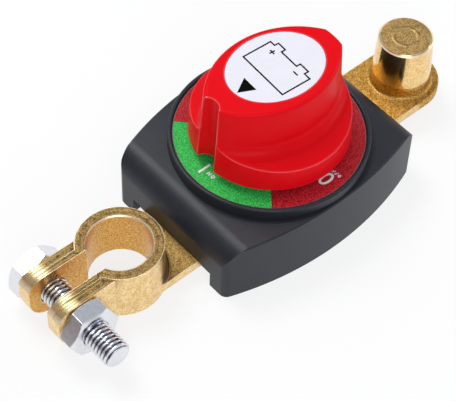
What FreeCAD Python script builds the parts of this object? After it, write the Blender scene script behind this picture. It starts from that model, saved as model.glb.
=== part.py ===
import FreeCAD, Part
import math
import os

# Battery disconnect switch. Origin on the knob's axis in the plane of the housing's underside,
# +X towards the battery post, -X towards the battery clamp, +Z up. Sizes in millimetres.

V = FreeCAD.Vector

# Housing
HALF_LENGTH = 34.9
MID_HALF_WIDTH = 28.5
END_HALF_WIDTH = 22.0
EDGE_HEIGHT = 19.3
CROWN_RISE = 0.8
END_RADIUS = 7.0
CORNER_RADIUS = 2.5
LEAST_CORNER_RADIUS = 0.6
SIDE_RIM_RADIUS = 0.7
SIDE_RIM_STAND_OFF = 0.05
WALL = 2.3
CEILING = 17.6
NOTCH_HALF_WIDTH = 16.2
NOTCH_CLEARANCE = 0.05

# Dial recess on the housing
RIM_RADIUS = 27.85
RIM_WIDTH = 1.3
RIM_TOP = 23.4
RIM_EDGE_RADIUS = 0.5
DIAL_SEAT = 22.2
DIAL_THICKNESS = 0.5
DIAL_CLEARANCE = 0.1
DIAL_HOLE_RADIUS = 8.5

# Contact chamber
CHAMBER_RADIUS = 22.4
CHAMBER_WALL = 1.6
CHAMBER_FLOOR_GAP = 0.8
STOP_HALF_ANGLE = 6.0
STOP_ANGLE = 135.0
STOP_REACH = 3.6
STOP_HEIGHT = 3.2
STOP_CLEARANCE = 0.6

# Base plate and screws
PLATE_THICKNESS = 2.6
PLATE_CLEARANCE = 0.2
GUIDE_WALL = 2.4
GUIDE_LENGTH = 8.0
BOSS_X = 28.2
BOSS_Y = 17.2
BOSS_RADIUS = 3.1
PILOT_DEPTH = 10.0
BASE_PILOT_RADIUS = 1.25
BASE_SCREW_HEAD_RADIUS = 2.7
BASE_SCREW_LENGTH = 11.0
TERMINAL_SCREW_X = 24.5
TERMINAL_SCREW_Y = 6.5
TERMINAL_PILOT_RADIUS = 1.6
TERMINAL_SCREW_HEAD_RADIUS = 3.1
TERMINAL_SCREW_LENGTH = 7.4
THREAD_CLEARANCE = 0.05
HEAD_CLEARANCE = 0.1
SCREW_SLOT_WIDTH = 0.8
SCREW_SLOT_DEPTH = 0.7

# Cast terminals
BAR_HALF_WIDTH = 11.3
BAR_THICKNESS = 3.0
CONTACT_HEIGHT = 8.2
CONTACT_GAP_HALF = 8.0
CONTACT_PAD_LENGTH = 20.0
BAR_EDGE_RADIUS = 0.5

# Clamp
CLAMP_X = -52.4
CLAMP_BORE_RADIUS = 8.8
CLAMP_WALL = 3.1
CLAMP_BOTTOM = 1.8
CLAMP_TOP = 17.6
CLAMP_DRAFT = 0.35
BORE_LEAD_IN = 1.0
BORE_TOP_CHAMFER = 0.3
LUG_GAP_HALF = 3.9
LUG_THICKNESS = 4.6
LUG_STEP = 0.5
LUG_INNER_THICKNESS = 1.9
LUG_REACH = 7.7
LUG_CREST = 2.7
LUG_CREASE_DROP = 2.6
CLAMP_ROOT_RADIUS = 1.5
BOLT_SPACING = 19.3
BOLT_HOLE_CLEARANCE = 0.2

# Clamp bolt and nut
BOLT_RADIUS = 4.0
BOLT_LENGTH = 31.9
BOLT_TIP_CHAMFER = 0.7
HEX_ACROSS_FLATS = 14.0
BOLT_HEAD_HEIGHT = 5.4
NUT_HEIGHT = 5.6
HEX_FACE_SHARE = 0.96
HEX_CHAMFER_ANGLE = 30.0
HEAD_TURN = 16.0
NUT_TURN = -2.5
SEAT_GAP = 0.05
NUT_BORE_CLEARANCE = 0.05

# Post
POST_X = 52.1
POST_BASE_RADIUS = 8.8
POST_TOP_RADIUS = 7.9
POST_HEIGHT = 16.9
POST_CHAMFER = 0.6
POST_ROOT_RADIUS = 1.2

# Knob
KNOB_REST_TURN = -3.5
KNOB_TRAVEL = 95.0
KNOB_GAP = 2.4
KNOB_BASE_RADIUS = 22.3
SKIRT_HEIGHT = 6.6
SKIRT_EDGE_RADIUS = 21.9
KNOB_TOP_RADIUS = 20.9
GRIP_HALF_WIDTH = 13.8
GRIP_FLANK_RADIUS = 25.6
GRIP_DRAFT = 0.5
SCOOP_WALL_HEIGHT = 10.8
SCOOP_FLOOR_RISE = 1.7
SCOOP_ROOT_HEIGHT = 3.8
SCOOP_ROOT = 3.2
POINTER_RADIUS = 3.6
POINTER_OFFSET = 22.4
KNOB_WALL = 2.6
KNOB_TOP_EDGE_RADIUS = 1.1
KNOB_EDGE_RADIUS = 0.35
HUB_RADIUS = 9.0
SKIRT_POCKET_DEPTH = 4.4
LABEL_LENGTH = 28.8
LABEL_WIDTH = 22.8
LABEL_OFFSET = 1.0
LABEL_SIDE_OFFSET = 0.5
LABEL_THICKNESS = 0.3
LABEL_RECESS = 0.35
LABEL_CLEARANCE = 0.1

# Rotor
SHAFT_RADIUS = 6.0
SHAFT_CLEARANCE = 0.08
SHAFT_FLAT = 4.5
SOCKET_CLEARANCE = 0.1
FLANGE_RADIUS = 20.5
FLANGE_TOP = 17.0
FLANGE_THICKNESS = 2.8
SPRING_POCKET_RADIUS = 6.4
SPRING_BOSS_RADIUS = 8.6
SPRING_BOSS_HEIGHT = 2.0
SPRING_POCKET_TOP = 16.3
DRIVE_WALL = 2.2
DRIVE_HALF_LENGTH = 11.0
DRIVE_LIFT = 0.6
SEAL_HEIGHT = 20.0
SEAL_SECTION_RADIUS = 0.75
SEAL_CLEARANCE = 0.05

# Bridge, spring and slip washer
BRIDGE_HALF_LENGTH = 20.0
BRIDGE_HALF_WIDTH = 6.0
BRIDGE_THICKNESS = 2.5
BRIDGE_CLEARANCE = 0.15
BRIDGE_RAMP = 0.6
CONTACT_AIR = 0.05
SEAT_CUP_RADIUS = 5.8
SEAT_CUP_THICKNESS = 0.7
SEAT_STUD_RADIUS = 3.4
SEAT_STUD_HEIGHT = 1.6
SPRING_WIRE_RADIUS = 0.6
SPRING_TURNS = 2.5
SPRING_MEAN_RADIUS = 4.8
WASHER_OUTER_RADIUS = 11.0
WASHER_CLEARANCE = 0.05

# Detent
DETENT_CIRCLE = 15.0
DETENT_ANGLE = 90.0
BALL_RADIUS = 1.5
BALL_CLEARANCE = 0.1
BALL_AIR = 0.05
DETENT_POCKET_DEPTH = 4.6
DETENT_BOSS_RADIUS = 2.8
DIMPLE_DEPTH = 0.7
DETENT_WIRE_RADIUS = 0.25
DETENT_SPRING_TURNS = 3.0

# Arc barrier
BARRIER_HALF_WIDTH = 13.0
BARRIER_CLEARANCE = 0.1

# Knob screw and washer
SCREW_WELL_DEPTH = 6.0
SCREW_SEAT_THICKNESS = 2.0
KNOB_SCREW_HEAD_RADIUS = 3.7
KNOB_SCREW_HEAD_HEIGHT = 2.4
KNOB_SCREW_RADIUS = 1.9
KNOB_SCREW_REACH = 11.0
KNOB_WASHER_RADIUS = 4.6
KNOB_WASHER_THICKNESS = 0.8
COUNTERBORE_RADIUS = 5.2

# Values that follow from the driving dimensions
SIDE_DROP = MID_HALF_WIDTH - END_HALF_WIDTH
SIDE_RADIUS = (HALF_LENGTH ** 2 + SIDE_DROP ** 2) / (2 * SIDE_DROP)
PLATE_TOP = PLATE_THICKNESS
CLAMP_BAR_TOP = PLATE_TOP + BAR_THICKNESS
POST_BAR_BOTTOM = CONTACT_HEIGHT - BAR_THICKNESS
BOLT_X = CLAMP_X - BOLT_SPACING
BOLT_Z = (CLAMP_BOTTOM + CLAMP_TOP) / 2
LUG_FACE = LUG_GAP_HALF + LUG_THICKNESS
BRIDGE_BOTTOM = CONTACT_HEIGHT + CONTACT_AIR
BRIDGE_TOP = BRIDGE_BOTTOM + BRIDGE_THICKNESS
FLANGE_BOTTOM = FLANGE_TOP - FLANGE_THICKNESS
SHAFT_BORE_RADIUS = SHAFT_RADIUS + SHAFT_CLEARANCE
CAVITY_HALF_LENGTH = HALF_LENGTH - WALL
RIM_INNER_RADIUS = RIM_RADIUS - RIM_WIDTH
KNOB_BASE = DIAL_SEAT + DIAL_THICKNESS + KNOB_GAP
SKIRT_EDGE = KNOB_BASE + SKIRT_HEIGHT
SCOOP_FLOOR = SKIRT_EDGE + SCOOP_FLOOR_RISE
SCOOP_WALL_LOW = SCOOP_FLOOR + SCOOP_ROOT_HEIGHT
KNOB_TOP = SCOOP_WALL_LOW + SCOOP_WALL_HEIGHT
LABEL_FLOOR = KNOB_TOP - LABEL_RECESS
KNOB_SCREW_SEAT = KNOB_TOP - SCREW_WELL_DEPTH
SHAFT_TOP = KNOB_SCREW_SEAT - SCREW_SEAT_THICKNESS
KNOB_PILOT_RADIUS = KNOB_SCREW_RADIUS + THREAD_CLEARANCE


def cylinder(radius, low, high, x=0.0, y=0.0):
    return Part.makeCylinder(radius, high - low, V(x, y, low))


def cone(low_radius, high_radius, low, high, x=0.0, y=0.0):
    return Part.makeCone(low_radius, high_radius, high - low, V(x, y, low))


def block(x0, x1, y0, y1, z0, z1):
    return Part.makeBox(x1 - x0, y1 - y0, z1 - z0, V(x0, y0, z0))


def tube(inner, outer, low, high, x=0.0, y=0.0):
    return cylinder(outer, low, high, x, y).cut(cylinder(inner, low - 1, high + 1, x, y))


def line(start, end):
    return Part.LineSegment(start, end).toShape()


def arc(start, middle, end):
    return Part.Arc(start, middle, end).toShape()


def turned(points):
    """A solid of revolution about Z from (radius, height) points joined by lines."""
    corners = [V(r, 0, z) for r, z in points]
    corners.append(corners[0])
    return Part.Face(Part.makePolygon(corners)).revolve(V(0, 0, 0), V(0, 0, 1), 360)


def polar(radius, degrees):
    return radius * math.cos(math.radians(degrees)), radius * math.sin(math.radians(degrees))


def pie(radius, start, end, low, high):
    """A sector of a disc between two angles in degrees."""
    return Part.makeCylinder(radius, high - low, V(0, 0, low), V(0, 0, 1), end - start).rotate(
        V(0, 0, 0), V(0, 0, 1), start)


def rounded(shape, radius, picked):
    """The shape with a fillet on the edges that the picked function chooses."""
    edges = [edge for edge in shape.Edges if picked(edge)]
    return shape.makeFillet(radius, edges)


def at_height(edge, z, tolerance=0.01):
    box = edge.BoundBox
    return abs(box.ZMin - z) < tolerance and abs(box.ZMax - z) < tolerance


def is_upright(edge):
    box = edge.BoundBox
    return box.XLength < 0.01 and box.YLength < 0.01 and box.ZLength > 0.1


def coil(mean_radius, wire_radius, low, high, turns, x=0.0, y=0.0):
    """A coil spring that stands between two heights."""
    rise = high - low - 2 * wire_radius
    spine = Part.Wire(Part.makeHelix(rise / turns, rise, mean_radius).Edges)
    section = Part.Wire(Part.makeCircle(wire_radius, V(mean_radius, 0, 0), V(0, 1, 0)))
    spring = spine.makePipeShell([section], True, True)
    spring.translate(V(x, y, low + wire_radius))
    return spring


def barrel(inset, low, high):
    """The plan of the housing, bulged along its sides, moved in by an inset and extruded."""
    half_length = HALF_LENGTH - inset
    radius = SIDE_RADIUS - inset
    centre = SIDE_RADIUS - MID_HALF_WIDTH
    end_y = math.sqrt(radius ** 2 - half_length ** 2) - centre
    mid_y = MID_HALF_WIDTH - inset
    outline = Part.Wire([
        arc(V(-half_length, -end_y, low), V(0, -mid_y, low), V(half_length, -end_y, low)),
        line(V(half_length, -end_y, low), V(half_length, end_y, low)),
        arc(V(half_length, end_y, low), V(0, mid_y, low), V(-half_length, end_y, low)),
        line(V(-half_length, end_y, low), V(-half_length, -end_y, low))])
    body = Part.Face(outline).extrude(V(0, 0, high - low))
    return rounded(body, max(CORNER_RADIUS - inset, LEAST_CORNER_RADIUS), is_upright)


def crown_radius(reach, rise):
    """The radius of a crown that falls by a rise over a reach to either side."""
    return (reach ** 2 + rise ** 2) / (2 * rise)


def arched(half_length, shoulder, rise, radius, half_width):
    """A long block, crowned by a rise and rounded at both ends, seen along Y."""
    reach = half_length - radius
    if rise > 0:
        crown = crown_radius(reach, rise)
        centre_z = shoulder + rise - crown
        end_z = centre_z + math.sqrt((crown - radius) ** 2 - reach ** 2)
        lean = math.atan2(end_z - centre_z, reach)
        touch_x = crown * math.cos(lean)
        touch_z = centre_z + crown * math.sin(lean)
    else:
        end_z = shoulder - radius
        lean = math.pi / 2
        touch_x = reach
        touch_z = shoulder
    half_turn = lean / 2
    bend_x = reach + radius * math.cos(half_turn)
    bend_z = end_z + radius * math.sin(half_turn)
    y = -half_width
    edges = [
        line(V(-half_length, y, -1), V(half_length, y, -1)),
        line(V(half_length, y, -1), V(half_length, y, end_z)),
        arc(V(half_length, y, end_z), V(bend_x, y, bend_z), V(touch_x, y, touch_z))]
    if rise > 0:
        edges.append(arc(V(touch_x, y, touch_z), V(0, y, shoulder + rise), V(-touch_x, y, touch_z)))
    else:
        edges.append(line(V(touch_x, y, touch_z), V(-touch_x, y, touch_z)))
    edges += [
        arc(V(-touch_x, y, touch_z), V(-bend_x, y, bend_z), V(-half_length, y, end_z)),
        line(V(-half_length, y, end_z), V(-half_length, y, -1))]
    return Part.Face(Part.Wire(edges)).extrude(V(0, 2 * half_width, 0))


def side_rim_trim():
    """A block that stands just outside the housing's sides and crown. Its rounded rims trim the housing's."""
    half_length = HALF_LENGTH + 1
    radius = SIDE_RADIUS + SIDE_RIM_STAND_OFF
    centre = SIDE_RADIUS - MID_HALF_WIDTH
    end_y = math.sqrt(radius ** 2 - half_length ** 2) - centre
    mid_y = radius - centre
    crown = crown_radius(HALF_LENGTH - END_RADIUS, CROWN_RISE)
    crown_centre = EDGE_HEIGHT + CROWN_RISE - crown
    outline = Part.Wire([
        arc(V(-half_length, -end_y, -1), V(0, -mid_y, -1), V(half_length, -end_y, -1)),
        line(V(half_length, -end_y, -1), V(half_length, end_y, -1)),
        arc(V(half_length, end_y, -1), V(0, mid_y, -1), V(-half_length, end_y, -1)),
        line(V(-half_length, end_y, -1), V(-half_length, -end_y, -1))])
    block_form = Part.Face(outline).extrude(V(0, 0, EDGE_HEIGHT + 2 * CROWN_RISE + 2))
    crown_form = Part.makeCylinder(crown + SIDE_RIM_STAND_OFF, 2 * mid_y + 2,
                                   V(0, -mid_y - 1, crown_centre), V(0, 1, 0))
    block_form = block_form.common(crown_form)

    def is_side_rim(edge):
        box = edge.BoundBox
        return box.XLength > HALF_LENGTH and box.ZMin > 0 and box.YMin * box.YMax > 0

    return rounded(block_form, SIDE_RIM_RADIUS, is_side_rim)


def boss_places():
    return [(sx * BOSS_X, sy * BOSS_Y) for sx in (-1, 1) for sy in (-1, 1)]


def terminal_screw_places():
    return [(sx * TERMINAL_SCREW_X, sy * TERMINAL_SCREW_Y) for sx in (-1, 1) for sy in (-1, 1)]


def detent_places():
    return [polar(DETENT_CIRCLE, DETENT_ANGLE + turn) for turn in (0, 180)]


def make_housing():
    """Moulded cover: barrel plan, crowned top, raised dial rim, contact chamber and screw bosses."""
    shell = barrel(0, 0, EDGE_HEIGHT + CROWN_RISE + 1)
    shell = shell.common(arched(HALF_LENGTH, EDGE_HEIGHT, CROWN_RISE, END_RADIUS, MID_HALF_WIDTH + 1))
    shell = shell.common(side_rim_trim())
    rim = turned([(0, CEILING), (RIM_RADIUS, CEILING), (RIM_RADIUS, RIM_TOP), (RIM_INNER_RADIUS, RIM_TOP),
                  (RIM_INNER_RADIUS, DIAL_SEAT), (0, DIAL_SEAT)])
    rim = rounded(rim, RIM_EDGE_RADIUS, lambda edge: at_height(edge, RIM_TOP))
    shell = shell.fuse(rim)

    cavity = barrel(WALL, -1, CEILING)
    cavity = cavity.common(
        arched(CAVITY_HALF_LENGTH, CEILING, 0, END_RADIUS - WALL, MID_HALF_WIDTH))
    chamber_low = CONTACT_HEIGHT + CHAMBER_FLOOR_GAP
    inside = [tube(CHAMBER_RADIUS, CHAMBER_RADIUS + CHAMBER_WALL, chamber_low, CEILING)]
    inside += [cylinder(BOSS_RADIUS, PLATE_TOP, CEILING, x, y) for x, y in boss_places()]
    stop = pie(CHAMBER_RADIUS + CHAMBER_WALL / 2, STOP_ANGLE - STOP_HALF_ANGLE,
               STOP_ANGLE + STOP_HALF_ANGLE, CEILING - STOP_HEIGHT, CEILING)
    inside.append(stop.cut(cylinder(CHAMBER_RADIUS - STOP_REACH, 0, CEILING + 1)))
    for piece in inside:
        cavity = cavity.cut(piece)
    shell = shell.cut(cavity)

    reach = HALF_LENGTH + 1
    shell = shell.cut(block(-reach, -CAVITY_HALF_LENGTH, -NOTCH_HALF_WIDTH, NOTCH_HALF_WIDTH,
                            -1, CLAMP_BAR_TOP + NOTCH_CLEARANCE))
    shell = shell.cut(block(CAVITY_HALF_LENGTH, reach, -NOTCH_HALF_WIDTH, NOTCH_HALF_WIDTH,
                            -1, CONTACT_HEIGHT + NOTCH_CLEARANCE))
    shell = shell.cut(cylinder(SHAFT_BORE_RADIUS, CEILING - 1, DIAL_SEAT + 1))
    for x, y in boss_places():
        shell = shell.cut(cylinder(BASE_PILOT_RADIUS, PLATE_TOP - 1, PLATE_TOP + PILOT_DEPTH, x, y))
    dimple = BALL_RADIUS + BALL_CLEARANCE
    for turn in (0, KNOB_TRAVEL, 180, 180 + KNOB_TRAVEL):
        x, y = polar(DETENT_CIRCLE, DETENT_ANGLE + KNOB_REST_TURN + turn)
        shell = shell.cut(Part.makeSphere(dimple, V(x, y, CEILING + DIMPLE_DEPTH - dimple)))
    return shell


def countersunk(head_radius, shank_radius, length, x, y):
    """A countersunk screw that points up, with its slotted head in the base plate's underside."""
    low = HEAD_CLEARANCE
    head = cone(head_radius, shank_radius, low, low + head_radius - shank_radius, x, y)
    screw = head.fuse(cylinder(shank_radius, low, low + length, x, y))
    slot = block(x - head_radius, x + head_radius, y - SCREW_SLOT_WIDTH / 2, y + SCREW_SLOT_WIDTH / 2,
                 low - 1, low + SCREW_SLOT_DEPTH)
    return screw.cut(slot)


def screw_hole(head_radius, shank_radius, x, y):
    """The countersunk hole of such a screw in the base plate."""
    clearance = HEAD_CLEARANCE
    sink = cone(head_radius + clearance, shank_radius + clearance, 0, head_radius - shank_radius, x, y)
    mouth = cylinder(head_radius + clearance, -1, clearance, x, y)
    return sink.fuse(mouth).fuse(cylinder(shank_radius + clearance, 0, CONTACT_HEIGHT, x, y))


def make_base_plate():
    """Closing plate with a raised seat for the post's bar and guides beside both bars."""
    plate = barrel(WALL + PLATE_CLEARANCE, 0, PLATE_TOP)
    end = CAVITY_HALF_LENGTH - PLATE_CLEARANCE
    plate = plate.fuse(block(CONTACT_GAP_HALF, end, -BAR_HALF_WIDTH, BAR_HALF_WIDTH, 0, POST_BAR_BOTTOM))
    guide_low = BAR_HALF_WIDTH + NOTCH_CLEARANCE
    for side in (-1, 1):
        near = min(side * guide_low, side * (guide_low + GUIDE_WALL))
        far = max(side * guide_low, side * (guide_low + GUIDE_WALL))
        plate = plate.fuse(block(-end, GUIDE_LENGTH - end, near, far, 0, CLAMP_BAR_TOP))
        plate = plate.fuse(block(end - GUIDE_LENGTH, end, near, far, 0, CONTACT_HEIGHT))
    for x, y in boss_places():
        plate = plate.cut(screw_hole(BASE_SCREW_HEAD_RADIUS, BASE_PILOT_RADIUS, x, y))
    for x, y in terminal_screw_places():
        plate = plate.cut(screw_hole(TERMINAL_SCREW_HEAD_RADIUS, TERMINAL_PILOT_RADIUS, x, y))
    return plate


def make_base_screws():
    shank = BASE_PILOT_RADIUS - THREAD_CLEARANCE
    return Part.makeCompound([countersunk(BASE_SCREW_HEAD_RADIUS, shank, BASE_SCREW_LENGTH, x, y)
                              for x, y in boss_places()])


def make_terminal_screws():
    shank = TERMINAL_PILOT_RADIUS - THREAD_CLEARANCE
    return Part.makeCompound([countersunk(TERMINAL_SCREW_HEAD_RADIUS, shank, TERMINAL_SCREW_LENGTH, x, y)
                              for x, y in terminal_screw_places()])


def make_dial_plate():
    """Printed ring that lies in the rim's recess round the knob."""
    return tube(DIAL_HOLE_RADIUS, RIM_INNER_RADIUS - DIAL_CLEARANCE, DIAL_SEAT, DIAL_SEAT + DIAL_THICKNESS)


def terminal_pilots(low):
    top = HEAD_CLEARANCE + TERMINAL_SCREW_LENGTH + 2 * THREAD_CLEARANCE
    return [cylinder(TERMINAL_PILOT_RADIUS, low - 1, top, x, y) for x, y in terminal_screw_places()]


def lug(side):
    """One bolt lug of the clamp: round below, creased above, with a step along its outer half."""
    start = CLAMP_X - CLAMP_BORE_RADIUS / 2
    end = BOLT_X - LUG_REACH
    run = LUG_REACH - LUG_CREST
    crest_radius = (run ** 2 + LUG_CREASE_DROP ** 2) / (2 * LUG_CREASE_DROP)
    half_bend = math.asin(run / crest_radius) / 2
    low_bend = LUG_REACH * math.sqrt(0.5)

    def plate(top, thickness):
        y = LUG_GAP_HALF
        crest = V(BOLT_X - LUG_CREST, y, top)
        crest_middle = V(crest.x - crest_radius * math.sin(half_bend), y,
                         top - crest_radius * (1 - math.cos(half_bend)))
        crease = V(end, y, top - LUG_CREASE_DROP)
        round_top = V(end, y, CLAMP_BOTTOM + LUG_REACH)
        round_middle = V(BOLT_X - low_bend, y, CLAMP_BOTTOM + LUG_REACH - low_bend)
        foot = V(BOLT_X, y, CLAMP_BOTTOM)
        outline = Part.Wire([
            line(V(start, y, top), crest), arc(crest, crest_middle, crease), line(crease, round_top),
            arc(round_top, round_middle, foot), line(foot, V(start, y, CLAMP_BOTTOM)),
            line(V(start, y, CLAMP_BOTTOM), V(start, y, top))])
        return Part.Face(outline).extrude(V(0, thickness, 0))

    inner = plate(CLAMP_TOP, LUG_INNER_THICKNESS)
    outer = plate(CLAMP_TOP - LUG_STEP, LUG_THICKNESS)
    whole = inner.fuse(outer).removeSplitter()
    if side < 0:
        whole = whole.mirror(V(0, 0, 0), V(0, 1, 0))
    return whole


def make_clamp_terminal():
    """Cast clamp: drafted ring, two bolt lugs, and the flat bar with its raised contact pad."""
    outer = CLAMP_BORE_RADIUS + CLAMP_WALL
    ring = cone(outer + CLAMP_DRAFT, outer, CLAMP_BOTTOM, CLAMP_TOP, CLAMP_X)
    bar = block(CLAMP_X, -CONTACT_GAP_HALF, -BAR_HALF_WIDTH, BAR_HALF_WIDTH, PLATE_TOP, CLAMP_BAR_TOP)
    pad_end = -CONTACT_GAP_HALF - CONTACT_PAD_LENGTH
    pad = block(pad_end, -CONTACT_GAP_HALF, -BAR_HALF_WIDTH, BAR_HALF_WIDTH, PLATE_TOP, CONTACT_HEIGHT)
    casting = ring.fuse(bar).fuse(pad).fuse(lug(1)).fuse(lug(-1)).removeSplitter()

    def is_ring_root(edge):
        box = edge.BoundBox
        return at_height(edge, CLAMP_BAR_TOP) and box.XMax < CLAMP_X + outer + 1 and box.XMin > CLAMP_X

    casting = rounded(casting, CLAMP_ROOT_RADIUS, is_ring_root)
    casting = casting.cut(cylinder(CLAMP_BORE_RADIUS, 0, CLAMP_TOP + 1, CLAMP_X))
    casting = casting.cut(cone(CLAMP_BORE_RADIUS + BORE_LEAD_IN, CLAMP_BORE_RADIUS, CLAMP_BOTTOM,
                               CLAMP_BOTTOM + BORE_LEAD_IN, CLAMP_X))
    casting = casting.cut(cone(CLAMP_BORE_RADIUS, CLAMP_BORE_RADIUS + BORE_TOP_CHAMFER,
                               CLAMP_TOP - BORE_TOP_CHAMFER, CLAMP_TOP, CLAMP_X))
    slot_end = BOLT_X - 2 * LUG_REACH
    casting = casting.cut(block(slot_end, CLAMP_X, -LUG_GAP_HALF, LUG_GAP_HALF, 0, CLAMP_TOP + 1))
    hole = Part.makeCylinder(BOLT_RADIUS + BOLT_HOLE_CLEARANCE, 2 * LUG_FACE + 2,
                             V(BOLT_X, -LUG_FACE - 1, BOLT_Z), V(0, 1, 0))
    casting = casting.cut(hole)
    for pilot in terminal_pilots(PLATE_TOP):
        casting = casting.cut(pilot)
    return casting


def make_post_terminal():
    """Cast tapered battery post on its flat bar with a round end."""
    bar = block(CONTACT_GAP_HALF, POST_X, -BAR_HALF_WIDTH, BAR_HALF_WIDTH, POST_BAR_BOTTOM, CONTACT_HEIGHT)
    bar = bar.fuse(cylinder(BAR_HALF_WIDTH, POST_BAR_BOTTOM, CONTACT_HEIGHT, POST_X))
    bar = bar.removeSplitter()

    def is_outer_rim(edge):
        flat = at_height(edge, CONTACT_HEIGHT) or at_height(edge, POST_BAR_BOTTOM)
        return flat and edge.BoundBox.XMax > CONTACT_GAP_HALF + 1

    bar = rounded(bar, BAR_EDGE_RADIUS, is_outer_rim)
    post_top = CONTACT_HEIGHT + POST_HEIGHT
    post = cone(POST_BASE_RADIUS, POST_TOP_RADIUS, CONTACT_HEIGHT, post_top, POST_X)
    post = post.makeChamfer(POST_CHAMFER, [edge for edge in post.Edges if at_height(edge, post_top)])
    casting = bar.fuse(post)
    casting = rounded(casting, POST_ROOT_RADIUS,
                      lambda edge: at_height(edge, CONTACT_HEIGHT) and is_post_foot(edge))
    for pilot in terminal_pilots(POST_BAR_BOTTOM):
        casting = casting.cut(pilot)
    return casting


def is_post_foot(edge):
    box = edge.BoundBox
    return abs(box.XMin - (POST_X - POST_BASE_RADIUS)) < 0.01 and box.YLength > POST_BASE_RADIUS


def hexagon(height, turn):
    """A hexagonal prism along -Y from y = 0, chamfered at both ends, turned about its axis."""
    corner = HEX_ACROSS_FLATS / math.sqrt(3)
    corners = []
    for step in range(7):
        angle = math.radians(60 * step + turn)
        corners.append(V(corner * math.cos(angle), 0, corner * math.sin(angle)))
    prism = Part.Face(Part.makePolygon(corners)).extrude(V(0, -height, 0))
    face_radius = HEX_FACE_SHARE * HEX_ACROSS_FLATS / 2
    outer = corner + 1
    rise = (outer - face_radius) * math.tan(math.radians(HEX_CHAMFER_ANGLE))
    outline = [V(0, 0, 0), V(face_radius, 0, 0), V(outer, -rise, 0), V(outer, rise - height, 0),
               V(face_radius, -height, 0), V(0, -height, 0), V(0, 0, 0)]
    turned_blank = Part.Face(Part.makePolygon(outline)).revolve(V(0, 0, 0), V(0, 1, 0), 360)
    return prism.common(turned_blank)


def make_clamp_bolt():
    """Hexagon head bolt through both lugs, plain where the thread runs."""
    head_face = LUG_FACE + SEAT_GAP
    head = hexagon(BOLT_HEAD_HEIGHT, HEAD_TURN)
    head.translate(V(0, head_face + BOLT_HEAD_HEIGHT, 0))
    shank = Part.makeCylinder(BOLT_RADIUS, BOLT_LENGTH + 1, V(0, head_face + 1, 0), V(0, -1, 0))
    tip = head_face - BOLT_LENGTH
    shank = shank.makeChamfer(BOLT_TIP_CHAMFER,
                              [edge for edge in shank.Edges if edge.BoundBox.YMax < tip + 0.01])
    bolt = head.fuse(shank)
    bolt.translate(V(BOLT_X, 0, BOLT_Z))
    return bolt


def make_clamp_nut():
    nut = hexagon(NUT_HEIGHT, NUT_TURN)
    bore = BOLT_RADIUS + NUT_BORE_CLEARANCE
    nut = nut.cut(Part.makeCylinder(bore, NUT_HEIGHT + 2, V(0, 1, 0), V(0, -1, 0)))
    nut.translate(V(BOLT_X, -LUG_FACE - SEAT_GAP, BOLT_Z))
    return nut


def make_arc_barrier():
    """Insulating block that fills the gap between the two contact faces."""
    half = CONTACT_GAP_HALF - BARRIER_CLEARANCE
    barrier = block(-half, half, -BARRIER_HALF_WIDTH, BARRIER_HALF_WIDTH, PLATE_TOP, CONTACT_HEIGHT)
    return rounded(barrier, CORNER_RADIUS, is_upright)


def scoop(side):
    """The space that one hand scoop takes out of the knob, turned about the flank's own centre."""
    centre = GRIP_FLANK_RADIUS - GRIP_HALF_WIDTH
    round_top = KNOB_TOP_EDGE_RADIUS
    wall_radius = GRIP_FLANK_RADIUS + GRIP_DRAFT
    floor_radius = wall_radius + SCOOP_ROOT
    edge_radius = SKIRT_EDGE_RADIUS + centre
    bend = math.radians(45)
    bend_x = floor_radius - SCOOP_ROOT * math.cos(bend)
    bend_z = SCOOP_WALL_LOW - SCOOP_ROOT_HEIGHT * math.sin(bend)
    outer = 3 * GRIP_FLANK_RADIUS
    slope = SCOOP_FLOOR_RISE / (edge_radius - floor_radius)
    crest = V(GRIP_FLANK_RADIUS - round_top, 0, KNOB_TOP)
    shoulder = V(GRIP_FLANK_RADIUS, 0, KNOB_TOP - round_top)
    crest_middle = V(GRIP_FLANK_RADIUS - round_top * (1 - math.sin(bend)), 0,
                     KNOB_TOP - round_top * (1 - math.cos(bend)))
    wall_foot = V(wall_radius, 0, SCOOP_WALL_LOW)
    floor_start = V(floor_radius, 0, SCOOP_FLOOR)
    floor_end = V(outer, 0, SCOOP_FLOOR - slope * (outer - floor_radius))
    outline = Part.Wire([
        line(V(crest.x, 0, KNOB_TOP + 1), crest),
        arc(crest, crest_middle, shoulder),
        line(shoulder, wall_foot),
        arc(wall_foot, V(bend_x, 0, bend_z), floor_start),
        line(floor_start, floor_end),
        line(floor_end, V(outer, 0, KNOB_TOP + 1)),
        line(V(outer, 0, KNOB_TOP + 1), V(crest.x, 0, KNOB_TOP + 1))])
    space = Part.Face(outline).revolve(V(0, 0, 0), V(0, 0, 1), 180)
    if side < 0:
        space = space.rotate(V(0, 0, 0), V(0, 0, 1), 180)
    space.translate(V(0, -side * centre, 0))
    return space


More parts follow.
